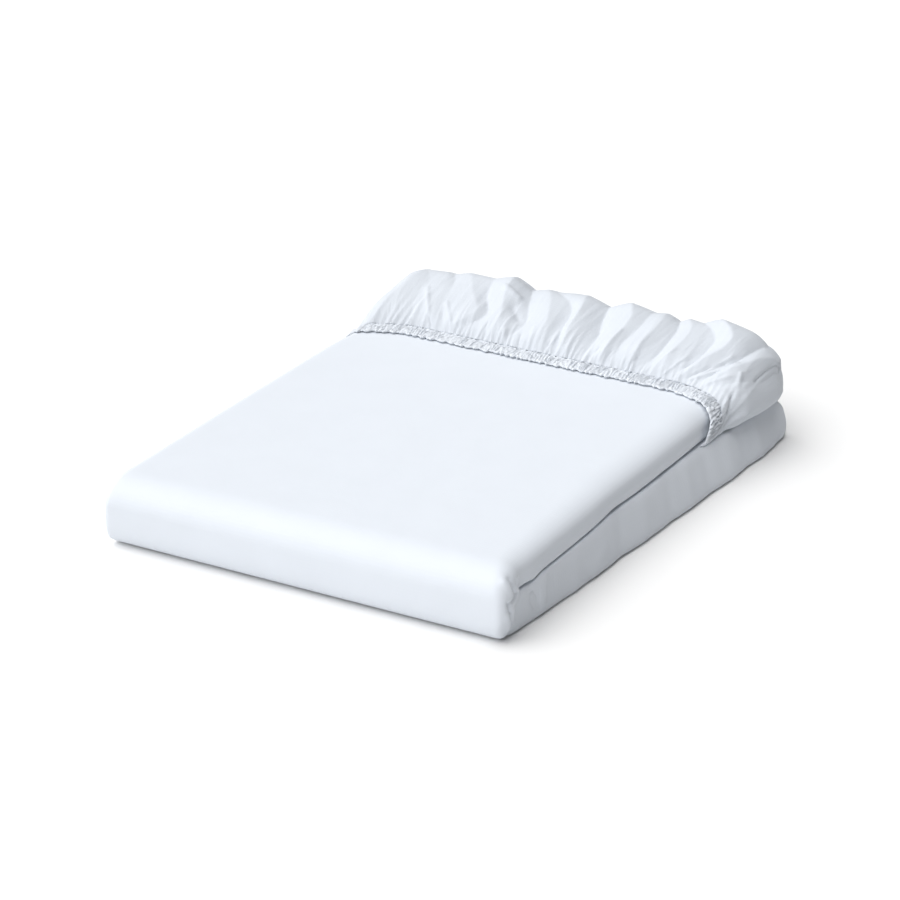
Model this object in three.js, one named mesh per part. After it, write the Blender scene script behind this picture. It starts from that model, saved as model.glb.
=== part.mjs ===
// A folded mattress protector: one long cloth folded lengthwise into eight layers and then
// doubled over at the front, with its gathered skirt turned over the back end of the upper half.
// Millimetres, +Z up, +X to the right of the front fold, +Y from the front fold to the back.
import * as THREE from 'three';

// Driving dimensions of the packet
const packetWidth = 300;
const lowerHeight = 28;
const upperHeight = 20;
const bendDepth = 27;

// How square the bend at the front is: round in the upper half, squarer down to the floor
const bendPower = { upper: 2.3, lower: 4.2 };

// The upper half lies a little lower along its left edge
const leftDrop = 2;

// The cloth: how many layers a half has, what share of a layer's room it fills, the rest being air,
// and how thick and how far apart it lies where it turns at the right side
const layers = 8;
const clothShare = 0.5;
const turnCloth = 1.4;
const widestTurnPitch = 3.1;
const tightestTurn = 1.2;
const turnPower = 2.2;

// The cloth passes through its layers in this order: 1 is the outside of the packet, 8 its middle
const layerOrder = [8, 1, 2, 7, 6, 3, 4, 5];

// Straight pieces in each turn at the right side, from the outermost turn to the innermost
const turnSteps = [8, 7, 6, 5];

// The small folds at the left edge: their depth, and how far each fold or loose edge stands in
const edgeFoldReach = 2.3;
const edgeFoldSteps = 4;
const edgeInset = { fold12: 3, fold67: 6.5, fold34: 5, edge8: 9, edge5: 12 };

// Cross sections from the back of the lower half, round the front bend, to the back of the upper half.
// y is the place along the packet, or turn the angle round the bend in degrees; right is how far the
// side turn reaches, round the depth of that turn, left the left edge, fill the share of the full height
const sections = [
  { half: 'lower', y: 386, right: 284, round: 9, left: 10, fill: 0.5 },
  { half: 'lower', y: 381, right: 292, round: 11, left: 5, fill: 0.76 },
  { half: 'lower', y: 369, right: 298, round: 13.5, left: 1.5, fill: 0.94 },
  { half: 'lower', y: 345, right: 300, round: 14, left: 0, fill: 1 },
  { half: 'lower', y: 230, right: 299.4, round: 14, left: 0.6, fill: 1 },
  { half: 'lower', y: 110, right: 300, round: 14, left: 0, fill: 1 },
  { half: 'lower', y: 30, right: 297, round: 12.5, left: 0, fill: 1 },
  { half: 'bend', turn: -66, right: 293.5, round: 10, left: 0, fill: 1 },
  { half: 'bend', turn: -36, right: 291.5, round: 9, left: 0, fill: 1 },
  { half: 'bend', turn: -8, right: 290.5, round: 8.5, left: 0, fill: 1 },
  { half: 'bend', turn: 12, right: 290.5, round: 9, left: 0.4, fill: 1 },
  { half: 'bend', turn: 36, right: 292, round: 12, left: 1, fill: 1 },
  { half: 'bend', turn: 62, right: 294, round: 16, left: 1.5, fill: 1 },
  { half: 'upper', y: 30, right: 295, round: 19, left: 2, fill: 1 },
  { half: 'upper', y: 110, right: 292.5, round: 21.5, left: 2, fill: 1 },
  { half: 'upper', y: 250, right: 288, round: 22, left: 3, fill: 1 },
  { half: 'upper', y: 288, right: 281.5, round: 20, left: 5, fill: 1 },
  { half: 'upper', y: 330, right: 280.5, round: 20, left: 6, fill: 1 },
  { half: 'upper', y: 371, right: 279.5, round: 20, left: 6, fill: 0.97 },
];

// The hood that the gathered skirt forms, in rounded arches from the elastic edge to the back.
// y is the place along the packet; left and right are the arch's sides, rise its height above its
// foot, round the radius of its shoulders, and swell how much of the gathers' height shows there
const hood = [
  { y: 321.8, rise: 20.8, left: 1, right: 283.5, round: 9, swell: 0.15 },
  { y: 327, rise: 25.5, left: 0, right: 286, round: 10, swell: 0.7 },
  { y: 336, rise: 30, left: -0.5, right: 290, round: 12, swell: 1 },
  { y: 348, rise: 34, left: 0, right: 293, round: 14, swell: 1 },
  { y: 361, rise: 36.5, left: 1, right: 293.5, round: 15, swell: 1 },
  { y: 373, rise: 37, left: 2, right: 292.5, round: 15, swell: 0.9 },
  { y: 382, rise: 34, left: 2, right: 291, round: 14, swell: 0.7 },
  { y: 387, rise: 27, left: 0, right: 289.5, round: 13, swell: 0.5 },
  { y: 388.5, rise: 15, left: 1.5, right: 288, round: 9, swell: 0.3 },
  { y: 387.5, rise: 5, left: 3, right: 286.5, round: 3, swell: 0.1 },
  { y: 382.5, rise: 1.2, left: 5, right: 285, round: 0.8, swell: 0 },
];
const hoodFoot = 1.3;
const hoodColumns = 78;
const skirtCloth = 1.4;

// The main gathers, from left to right: front and back are where each lies across the packet at the
// elastic edge and at the back, counted on along the hood's shoulder past its top; height is how far
// it stands out, or in where it is a hollow, and width how wide it is to each side
const gathers = [
  { front: 8, back: 0, height: -4, width: 26 },
  { front: 84, back: 78, height: 3, width: 30 },
  { front: -16, back: -26, height: 2.2, width: 8 },
  { front: 2, back: -13, height: -1.8, width: 7 },
  { front: 22, back: 2, height: 2.4, width: 9 },
  { front: 54, back: 23, height: 2.6, width: 9 },
  { front: 71, back: 47, height: 1.8, width: 8 },
  { front: 88, back: 57, height: -2.2, width: 7 },
  { front: 96, back: 68, height: 2.6, width: 8 },
  { front: 108, back: 96, height: -2.6, width: 10 },
  { front: 119, back: 121, height: 2.2, width: 8 },
  { front: 139, back: 128, height: -2.4, width: 7 },
  { front: 149, back: 144, height: 2.6, width: 7 },
  { front: 155, back: 157, height: -3.6, width: 7 },
  { front: 163, back: 170, height: 2, width: 8 },
  { front: 180, back: 189, height: -1.8, width: 7 },
  { front: 202, back: 204, height: -2, width: 8 },
  { front: 213, back: 217, height: 2, width: 9 },
  { front: 226, back: 233, height: -2.8, width: 9 },
  { front: 239, back: 246, height: 3, width: 8 },
  { front: 250, back: 262, height: -2.4, width: 7 },
  { front: 262, back: 284, height: 2, width: 9 },
  { front: 278, back: 306, height: -1.8, width: 8 },
  { front: 292, back: 322, height: 2, width: 9 },
];

// The ruched elastic edge, a flat band that lies across the upper half and round both its sides
const band = { front: 307, width: 14, thickness: 3.2, sides: 8, steps: 66, corner: 3 };
const ruche = { height: 0.5, count: 16.5 };

// How far forward the band is drawn at each end, where it tucks in between the two halves,
// and over what share of its length it swings there
const tuck = { forward: 30, swing: 0.2, power: 1.9 };

const pitch = 1 / layers;

// A point on a unit superellipse, at an angle measured from its first axis
function squaredCircle(angle, power) {
  const across = Math.cos(angle);
  const along = Math.sin(angle);
  return {
    across: Math.sign(across) * Math.abs(across) ** (2 / power),
    along: Math.sign(along) * Math.abs(along) ** (2 / power),
  };
}

// A number that swells smoothly from 0 to 1
function smooth(share) {
  const s = THREE.MathUtils.clamp(share, 0, 1);
  return s * s * (3 - 2 * s);
}

// One turn of the cloth between two layers: side is 1 at the right side and -1 at the left edge.
// Each station is the middle of the cloth, with its half thickness to the left hand of the cloth's run
function turnOfCloth(from, to, side, centreX, reach, steps) {
  const middle = ((from + to) / 2 - 0.5) * pitch;
  const half = (Math.abs(from - to) / 2) * pitch;
  const sense = to < from ? 1 : -1;
  const stations = [];
  for (let k = 0; k <= steps; k += 1) {
    const { across, along } = squaredCircle((Math.PI * k) / steps, turnPower);
    stations.push({
      x: centreX + side * reach * along,
      depth: middle + sense * half * across,
      thickX: (sense * turnCloth * along) / 2,
      thickDepth: (side * clothShare * pitch * across) / 2,
    });
  }
  return stations;
}

// A station on a straight stretch of one layer
function straightOfCloth(layer, x, runsRight) {
  const sense = runsRight ? 1 : -1;
  return {
    x,
    depth: (layer - 0.5) * pitch,
    thickX: 0,
    thickDepth: (sense * clothShare * pitch) / 2,
  };
}

// The whole back-and-forth run of the cloth across one section of the packet
function runOfCloth({ right, round, left }) {
  const outermostReach = round - turnCloth / 2;
  const nestPitch = Math.min(widestTurnPitch, (outermostReach - tightestTurn) / (turnSteps.length - 1));
  const run = [straightOfCloth(layerOrder[0], left + edgeInset.edge8, true)];
  for (let k = 0; k < layers - 1; k += 1) {
    const from = layerOrder[k];
    const to = layerOrder[k + 1];
    const runsRight = k % 2 === 0;
    const nest = (layers - 1 - Math.abs(from - to)) / 2;
    const inset = edgeInset[`fold${Math.min(from, to)}${Math.max(from, to)}`];
    const turn = runsRight
      ? turnOfCloth(from, to, 1, right - round, outermostReach - nest * nestPitch, turnSteps[nest])
      : turnOfCloth(from, to, -1, left + inset, edgeFoldReach, edgeFoldSteps);
    const halfWay = (run[run.length - 1].x + turn[0].x) / 2;
    run.push(straightOfCloth(from, halfWay, runsRight), ...turn);
  }
  const lastLayer = layerOrder[layers - 1];
  run.push(straightOfCloth(lastLayer, (right + left) / 2, false));
  run.push(straightOfCloth(lastLayer, left + edgeInset.edge5, false));
  return run;
}

// Where a point of a section lies: depth 0 is the outside of the packet, 1 the line between its halves
function placeInPacket(section, x, depth) {
  const fromLine = 0.5 - (depth - 0.5) * section.fill;
  const heightAbove = upperHeight - leftDrop * smooth(1 - x / packetWidth);
  if (section.half === 'bend') {
    const power = section.turn < 0 ? bendPower.lower : bendPower.upper;
    const { across, along } = squaredCircle(THREE.MathUtils.degToRad(section.turn), power);
    const height = along < 0 ? lowerHeight : heightAbove;
    const y = bendDepth - bendDepth * across * fromLine;
    return new THREE.Vector3(x, y, lowerHeight + height * along * fromLine);
  }
  const height = section.half === 'upper' ? heightAbove : -lowerHeight;
  return new THREE.Vector3(x, section.y, lowerHeight + height * fromLine);
}

// A closed body from rings of equally many points, each ring a closed outline
function skinRings(rings, cap) {
  const count = rings[0].length;
  const last = (rings.length - 1) * count;
  const index = [];
  for (let r = 0; r < rings.length - 1; r += 1) {
    for (let k = 0; k < count; k += 1) {
      const a = r * count + k;
      const b = r * count + ((k + 1) % count);
      index.push(a, b, b + count, a, b + count, a + count);
    }
  }
  cap.forEach(([a, b, c]) => index.push(a, c, b, last + a, last + b, last + c));
  const geometry = new THREE.BufferGeometry();
  const positions = rings.flat().flatMap((point) => point.toArray());
  geometry.setAttribute('position', new THREE.Float32BufferAttribute(positions, 3));
  geometry.setIndex(index);
  geometry.computeVertexNormals();
  return geometry;
}

// Triangles that close an outline made of two equally long sides, there and back
function capOfStrip(stations) {
  const triangles = [];
  for (let k = 0; k < stations - 1; k += 1) {
    const across = 2 * stations - 1 - k;
    triangles.push([k, k + 1, across - 1], [k, across - 1, across]);
  }
  return triangles;
}

// The main cloth: its run carried from the lower back end, round the front, to the upper back end
function panelGeometry() {
  const rings = sections.map((section) => {
    const run = runOfCloth(section);
    const leftHand = run.map((s) => placeInPacket(section, s.x + s.thickX, s.depth + s.thickDepth));
    const rightHand = run.map((s) => placeInPacket(section, s.x - s.thickX, s.depth - s.thickDepth));
    return [...rightHand, ...leftHand.reverse()];
  });
  return skinRings(rings, capOfStrip(rings[0].length / 2));
}

// Half the length of an arch, from the middle of its top down to its foot
function halfArch({ left, right, rise, round }) {
  return (right - left) / 2 - round + (Math.PI * round) / 2 + rise - round;
}

// A point of a rounded arch and its outward direction, at a distance along it from its top middle
function archPoint({ left, right, rise, round }, distance) {
  const side = Math.sign(distance);
  const flat = (right - left) / 2 - round;
  const past = Math.max(Math.abs(distance) - flat, 0);
  const angle = Math.min(past / round, Math.PI / 2);
  const below = Math.max(past - (Math.PI * round) / 2, 0);
  return {
    x: (left + right) / 2 + side * (Math.min(Math.abs(distance), flat) + round * Math.sin(angle)),
    z: rise - round + round * Math.cos(angle) - below,
    outX: side * Math.sin(angle),
    outZ: Math.cos(angle),
  };
}

// How far forward the hood's front is drawn at a share of the arch, 0 at the right foot, 1 at the left
function drawnForward(share) {
  const fromEnd = Math.min(share, 1 - share) / tuck.swing;
  return tuck.forward * Math.max(1 - fromEnd, 0) ** tuck.power;
}

// How far the gathers stand out at a distance along the arch from its middle, part of the way back.
// Each is a soft bell that has all but gone at its width to either side
function gatherHeight(distance, middle, back) {
  let height = 0;
  gathers.forEach((gather) => {
    const centre = THREE.MathUtils.lerp(gather.front, gather.back, back) - middle;
    const away = (distance - centre) / gather.width;
    height += gather.height * Math.exp(-2 * away * away);
  });
  return height;
}

// A point of the hood on one of its rows, at a share of the arch from the right foot to the left one
function hoodPoint(share, row) {
  const arch = hood[row];
  const distance = (1 - 2 * share) * halfArch(arch);
  const { x, z, outX, outZ } = archPoint(arch, distance);
  const back = row / (hood.length - 1);
  const out = arch.swell * gatherHeight(distance, (arch.left + arch.right) / 2, back);
  return new THREE.Vector3(
    x + out * outX,
    arch.y - drawnForward(share) * (1 - back),
    lowerHeight + hoodFoot + z + out * outZ,
  );
}

// The gathered skirt: one sheet over the arches, its two faces a cloth's thickness apart
function skirtGeometry() {
  const lastRow = hood.length - 1;
  const grid = [];
  for (let c = 0; c <= hoodColumns; c += 1) {
    grid.push(hood.map((arch, row) => hoodPoint(c / hoodColumns, row)));
  }
  const rings = grid.map((line, c) => {
    const before = grid[Math.max(c - 1, 0)];
    const after = grid[Math.min(c + 1, hoodColumns)];
    const outwards = line.map((point, row) => {
      const alongRow = line[Math.min(row + 1, lastRow)].clone().sub(line[Math.max(row - 1, 0)]);
      const alongArch = after[row].clone().sub(before[row]);
      return alongRow.cross(alongArch).setLength(skirtCloth / 2);
    });
    const outer = line.map((point, row) => point.clone().add(outwards[row]));
    const inner = line.map((point, row) => point.clone().sub(outwards[row]));
    return [...outer, ...inner.reverse()];
  });
  return skinRings(rings, capOfStrip(hood.length));
}

// The elastic edge: a rounded flat section carried over the hood's first arch, in front of the skirt
function elasticGeometry() {
  const arch = hood[0];
  const rings = [];
  for (let s = 0; s <= band.steps; s += 1) {
    const share = s / band.steps;
    const { x, z, outX, outZ } = archPoint(arch, (1 - 2 * share) * halfArch(arch));
    const thickness = band.thickness + ruche.height * Math.cos(2 * Math.PI * ruche.count * share);
    const ring = [];
    for (let k = 0; k < band.sides; k += 1) {
      const corner = squaredCircle((-2 * Math.PI * (k + 0.5)) / band.sides, band.corner);
      const out = (corner.along * thickness) / 2;
      ring.push(new THREE.Vector3(
        x + out * outX,
        band.front + (band.width / 2) * (1 + corner.across) - drawnForward(share),
        lowerHeight + hoodFoot + z + out * outZ,
      ));
    }
    rings.push(ring);
  }
  const cap = [];
  for (let k = 1; k < band.sides - 1; k += 1) {
    cap.push([0, k, k + 1]);
  }
  return skinRings(rings, cap);
}

function piece(name, geometry, color, roughness) {
  const mesh = new THREE.Mesh(geometry, new THREE.MeshStandardMaterial({ color, roughness, metalness: 0 }));
  mesh.name = name;
  return mesh;
}

const packet = new THREE.Group();
packet.add(piece('panel', panelGeometry(), '#eef1f6', 0.86));
packet.add(piece('skirt', skirtGeometry(), '#f1f3f6', 0.84));
packet.add(piece('elastic_edge', elasticGeometry(), '#eceef1', 0.9));

// The origin lies under the middle of the packet, on the surface that it rests on
const bounds = new THREE.Box3().setFromObject(packet);
const middle = bounds.getCenter(new THREE.Vector3());
packet.position.set(-middle.x, -middle.y, -bounds.min.z);

const protector = new THREE.Group();
protector.add(packet);

export default protector;
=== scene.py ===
"""Looks of a folded mattress protector: its folded panel, gathered skirt and ruched elastic edge.

The packet's own frame is in millimetres: X across from the left side, Y from the front fold to the
back, Z up. placed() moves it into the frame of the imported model, in metres.
"""

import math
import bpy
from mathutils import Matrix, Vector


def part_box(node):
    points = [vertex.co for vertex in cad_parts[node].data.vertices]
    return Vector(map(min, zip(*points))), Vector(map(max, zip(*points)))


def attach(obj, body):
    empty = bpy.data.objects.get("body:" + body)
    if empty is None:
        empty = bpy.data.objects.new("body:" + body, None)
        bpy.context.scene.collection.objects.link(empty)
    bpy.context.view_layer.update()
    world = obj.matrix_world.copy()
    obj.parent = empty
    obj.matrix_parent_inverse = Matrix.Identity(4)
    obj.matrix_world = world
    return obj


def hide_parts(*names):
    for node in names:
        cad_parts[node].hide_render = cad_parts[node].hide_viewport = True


bl_info = {
    "name": "Folded mattress protector",
    "version": (1, 0, 0),
    "blender": (4, 5, 0),
    "location": "View3D > Sidebar > Protector",
    "description": "Adds a folded mattress protector with a gathered skirt and an elastic edge",
    "category": "Add Mesh",
}

from typing import NamedTuple

import bpy
import numpy as np
from bpy.props import FloatProperty, FloatVectorProperty, PointerProperty
from mathutils import Vector

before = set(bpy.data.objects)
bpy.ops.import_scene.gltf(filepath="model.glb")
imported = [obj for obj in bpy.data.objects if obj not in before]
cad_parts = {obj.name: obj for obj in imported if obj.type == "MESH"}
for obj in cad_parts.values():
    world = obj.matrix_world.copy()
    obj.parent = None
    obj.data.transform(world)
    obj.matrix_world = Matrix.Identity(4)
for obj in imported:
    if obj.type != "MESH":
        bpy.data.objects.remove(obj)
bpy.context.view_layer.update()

MM = 0.001


def linear(colour):
    """An sRGB hex colour as linear red, green and blue."""
    parts = [int(colour[k : k + 2], 16) / 255 for k in (1, 3, 5)]
    return tuple(c / 12.92 if c <= 0.04045 else ((c + 0.055) / 1.055) ** 2.4 for c in parts)


def length(name, description, default_mm):
    """A length that a user may change, given in millimetres and kept in metres."""
    return FloatProperty(
        name=name,
        description=description,
        default=default_mm * MM,
        min=0.0,
        soft_max=1.0,
        precision=4,
        unit="LENGTH",
        subtype="DISTANCE",
    )


def colour(name, description, hex_colour):
    """A colour that a user may change."""
    return FloatVectorProperty(
        name=name,
        description=description,
        default=linear(hex_colour),
        size=3,
        min=0.0,
        max=1.0,
        subtype="COLOR",
    )


def strength(name, description, default):
    """The strength of a light, which a user may change."""
    return FloatProperty(name=name, description=description, default=default, min=0.0)


class PacketSizes(bpy.types.PropertyGroup):
    """The folded panel"""

    lower_height: length("Lower half", "Height of the half that lies below", 28.2)
    upper_height: length("Upper half", "Height of the half that lies on top", 20)
    bend_depth: length("Bend depth", "How deep the bend at the front is", 27)
    left_drop: length("Drop at left", "How much lower the upper half lies along its left edge", 2)
    cloth: length("Cloth", "Thickness of the panel's cloth as it lies in the packet", 1.1)
    colour: colour("Colour", "The panel's cotton blend", "#d3d8df")


class SkirtSizes(bpy.types.PropertyGroup):
    """The gathered skirt"""

    cloth: length("Cloth", "Thickness of the skirt's cloth", 0.9)
    gather_spacing: length("Gathers", "Distance between the small gathers at the elastic edge", 3.4)
    gather_height: length("Gather height", "How far the small gathers stand out", 1.5)
    colour: colour("Colour", "The skirt's cloth", "#c8cdd4")


class ElasticSizes(bpy.types.PropertyGroup):
    """The ruched elastic edge"""

    width: length("Width", "Width of the elastic edge", 14)
    thickness: length("Thickness", "Thickness of the elastic edge with its pleats", 2.1)
    pleat_spacing: length("Pleats", "Distance between its small pleats", 2.1)
    pleat_height: length("Pleat height", "How far the pleats stand out", 0.75)
    colour: colour("Colour", "The binding over the elastic", "#d9dee5")


class StudioSettings(bpy.types.PropertyGroup):
    """The floor, lights and camera"""

    floor_colour: colour("Floor", "The pale floor", "#eeeeee")
    key_strength: strength("Key light", "Strength of the key light", 4.08)
    front_strength: strength("Front light", "Strength of the front light", 1.13)
    sky_strength: strength("Sky", "Strength of the even light", 0.1)


PACKET_WIDTH = 300

# The cloth passes through its layers in this order: 1 is the outside of the packet, 8 its middle.
# Each layer takes an equal share of the height of its half
LAYER_ORDER = (8, 1, 2, 7, 6, 3, 4, 5)
LAYERS = len(LAYER_ORDER)
PITCH = 1 / LAYERS

# How far in from the left edge each layer's fold or loose edge stands, and how far a fold bulges
LEFT_INSET = {8: 5, 1: 3, 2: 3, 7: 6.5, 6: 6.5, 3: 5, 4: 5, 5: 12}
LEFT_FOLD_REACH = 2.3

# The turns at the right side lie inside each other: how far apart they are at most, how far the
# innermost one reaches at least, and how thick the cloth is there
WIDEST_TURN_PITCH = 3.1
TIGHTEST_TURN = 1.2
CLOTH_AT_TURN = 1.4

# Columns of the panel's mesh on the layers, round the turns at the right side from the outermost one
# inwards, and round a fold at the left. Those of layer 1 crowd towards the right side by the power
LAYER_COLUMNS = {1: 88, 8: 12}
INNER_LAYER_COLUMNS = 4
TURN_COLUMNS = (34, 8, 6, 5)
LEFT_FOLD_COLUMNS = 4
CROWDING = 1.3

# Rows of the panel's mesh round its back end, along the lower half, round the bend at the front and
# along the upper half
END_ROWS = 12
LOWER_ROWS = 87
BEND_ROWS = 60
UPPER_ROWS = 77

# How square the bend at the front is, in the upper half and down to the floor in the lower one, and
# the length along the strip that a quarter turn of it counts for
BEND_POWERS = (2.3, 4.2)
QUARTER_BEND = 40


class Section(NamedTuple):
    """A cross section of the panel: its place along the strip from the front, under the packet where
    it is negative; how far its right side reaches at the outside of the packet and at the line
    between the halves, how much further the side flares out at that line, how wide its shoulder is
    and how square, the height of the line, and the left edge."""

    along: float
    outside: float
    line: float
    flare: float
    round: float
    square: float
    line_height: float
    left: float


SECTIONS = (
    Section(-404, 291, 283, 0, 11, 5, 28.2, 9),
    Section(-396, 295.5, 286, 0, 11, 5, 28.2, 4.5),
    Section(-382, 299, 287, 0, 11, 5, 28.2, 1.5),
    Section(-358, 300.5, 286, 0, 10, 5, 28.4, 0),
    Section(-302, 299.5, 285, 0, 9, 5, 29.6, 0.4),
    Section(-271, 298.5, 284, 0, 9, 5, 30.2, 0.6),
    Section(-206, 296, 285, 0, 8, 5, 29.8, 0.6),
    Section(-172, 294.5, 284.5, 0, 8, 5, 30.2, 0.6),
    Section(-134, 293, 286.5, 0, 7, 5, 29.4, 0.3),
    Section(-93, 290.8, 287.5, 0, 6, 5, 29, 0),
    Section(-70, 289.5, 288, 0, 5.5, 5, 29, 0),
    Section(-55, 288.3, 289, 0, 5, 5, 28.2, 0),
    Section(-43, 287.5, 288.6, 0, 5, 5, 28.6, 0),
    Section(-28, 287, 288.5, 0, 6, 3.6, 29, 0),
    Section(-20, 290, 288.5, 0, 8, 2.6, 29.2, 0),
    Section(-11, 293, 288.5, 0, 9, 2.4, 29.3, 0),
    Section(0, 294, 288.5, 0, 10, 2.3, 29.4, 0.2),
    Section(14, 292.5, 288, 0.4, 11, 2.3, 29.4, 1),
    Section(30, 289.5, 286.5, 1.2, 14, 2.3, 29, 1.5),
    Section(43, 287, 285.5, 2.4, 17, 2.2, 28.6, 2),
    Section(55, 286.5, 287, 3, 18, 2.2, 28.2, 2),
    Section(70, 286, 285.5, 3.2, 18, 2.2, 29, 2),
    Section(93, 285, 285, 3.2, 19, 2.2, 29, 2),
    Section(134, 283, 284, 3.2, 20, 2.2, 29.4, 2),
    Section(172, 281.5, 282, 3.2, 21, 2.2, 30.2, 2.2),
    Section(206, 280.5, 282.2, 3.2, 22, 2.2, 29.8, 2.5),
    Section(271, 280, 281, 3.4, 21, 2.2, 30.2, 3),
    Section(302, 278.5, 280, 3, 21, 2.2, 29.6, 5),
    Section(343, 278.5, 279, 2, 20, 2.2, 28.4, 6),
    Section(384, 278, 278.5, 1, 20, 2.2, 28.2, 6),
)

# How square the outermost turn is beside the line, and by what share of a half it flares out there
LINE_SQUARE = 9
FLARE_SHARE = 0.35

# Along the right side the halves close on each other: by what share of a half, over how many of its
# layers and over what width
CLOSED_BY = 0.056
CLOSED_LAYERS = 1.5
CLOSED_REACH = 60

# The rounded back end of the lower half, where the outer layers close round the inner ones, and
# where the upper half ends inside the hood
END_START = 364
END_REACH = 22
END_POWER = 2.8
UPPER_BACK = 371

# Where the underside of the panel's solid lies in the packet's own frame
UNDERSIDE = 0.875


class Crease(NamedTuple):
    """A crease between two places, how far it stands out, or in where it is negative, and how far it
    spreads to either side."""

    start: tuple
    end: tuple
    height: float
    width: float


# The pinched corner at the front right, where the line between the halves ends, and below it the
# soft dents and ridges of the side, from the front to the back
PANEL_CREASES = (
    Crease((287, 14, 41.5), (289.4, 15, 35.9), -1.5, 2.4),
    Crease((289.4, 15, 35.9), (289, 19.6, 30.9), -1.5, 2.4),
    Crease((286, 9, 42), (289.6, 10, 35), 1.1, 3),
    Crease((287, 23, 38), (288.6, 24, 33), 0.9, 3),
    Crease((289, 19, 30), (290.8, 7, 28.8), -1.6, 2.2),
    Crease((290.8, 7, 28.8), (290.4, 10.4, 20.5), -1.8, 2.2),
    Crease((290.4, 10.4, 20.5), (287.2, 15.5, 10.4), -1.9, 2.2),
    Crease((287.2, 15.5, 10.4), (284.9, 16, 3), -1.6, 2.2),
    Crease((290.4, 6.4, 20), (288, 11.5, 10.4), 1.1, 2.8),
    Crease((289.6, 13.6, 22), (287, 19, 11), 0.7, 2.4),
    Crease((289, 38, 29), (289, 46, 12), -2.2, 5.5),
    Crease((289, 56, 28), (289, 52, 8), 2.0, 4),
    Crease((290, 66, 24), (290, 63, 12), -1.2, 5),
    Crease((290, 98, 24), (292, 92, 6), 0.8, 9),
    Crease((292, 132, 17), (294, 118, 9), 1.2, 8),
    Crease((286, 158, 26), (294, 150, 6), -1.2, 10),
    Crease((288, 186, 22), (296, 178, 8), 1, 11),
    Crease((287, 222, 26), (297, 214, 6), -1.1, 9),
    Crease((287, 246, 26), (298, 240, 8), 1.1, 8),
    Crease((287, 272, 27), (299, 266, 6), -1.2, 9),
    Crease((288, 300, 26), (300, 294, 6), 1.1, 9),
    Crease((288, 318, 26), (300, 316, 6), -1.3, 8),
    Crease((289, 340, 25), (300, 336, 6), 1.2, 8),
    Crease((289, 362, 25), (298, 362, 6), -1, 7),
)


class HoodRow(NamedTuple):
    """An arch of the hood: its place along the packet, its height above the foot, its sides, the
    radius of its left and its right shoulder, how far it curls in at the foot, how far back from its
    middle its sides lie, and how much of the gathers shows."""

    y: float
    rise: float
    left: float
    right: float
    left_round: float
    right_round: float
    curl: float
    corner: float
    swell: float


HOOD = (
    HoodRow(321, 19.4, 1, 284, 9, 13, 1.5, 0, 0.15),
    HoodRow(327, 25.5, 0, 286, 10, 15, 3, 0, 0.7),
    HoodRow(336, 31, -0.5, 292, 12, 20, 5, 0, 1),
    HoodRow(348, 34.5, 0, 294, 14, 26, 8, 0.5, 1),
    HoodRow(361, 38, 1, 294.5, 15, 29, 8, 2, 1),
    HoodRow(373, 39.6, 2, 294, 15, 30, 8, 4, 1),
    HoodRow(382, 37.5, 2, 292.5, 14, 29, 7, 6, 0.95),
    HoodRow(388, 30, 1, 291, 13, 22, 6, 8, 0.8),
    HoodRow(389.5, 16, 1.5, 289, 9, 10, 4, 8, 0.5),
    HoodRow(388, 5.5, 3, 286.5, 3, 3, 2, 7, 0.25),
    HoodRow(382.5, 1.6, 5, 285, 0.8, 0.8, 0.7, 5, 0),
)

# How far above the line between the halves the hood's foot lies, how far round it curls in there, in
# radians, and the length of its cloth from the elastic edge to the back foot
HOOD_FOOT = 1.3
CURL_TURN = 1.9
HOOD_DEPTH = 105
HOOD_COLUMNS = 430
HOOD_ROWS = 88

# How flat the sides of the main folds are, from 0 for a round one to 1 for a straight one, and by
# what share the folds close up towards the middle behind the packet
FLATNESS = 0.75
BACK_CLOSING = 0.15


class Fold(NamedTuple):
    """The crest or the valley of a main fold of the hood: where it lies across the packet near the
    elastic edge, a quarter and a third of the way back and on top, counted on along the hood's
    shoulder, and its height over the smooth arch near the elastic, halfway up and on top."""

    near: float
    low: float
    high: float
    top: float
    near_height: float
    mid_height: float
    top_height: float


# The shares of the way back at which a fold's four places are given
FOLD_SHARES = (0.08, 0.22, 0.38, 0.56)

# And those at which its heights are: the three given, half as high behind as on top, and none at
# either end of the cloth
HEIGHT_SHARES = (0, 0.1, 0.3, 0.54, 0.8, 1)

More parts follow.
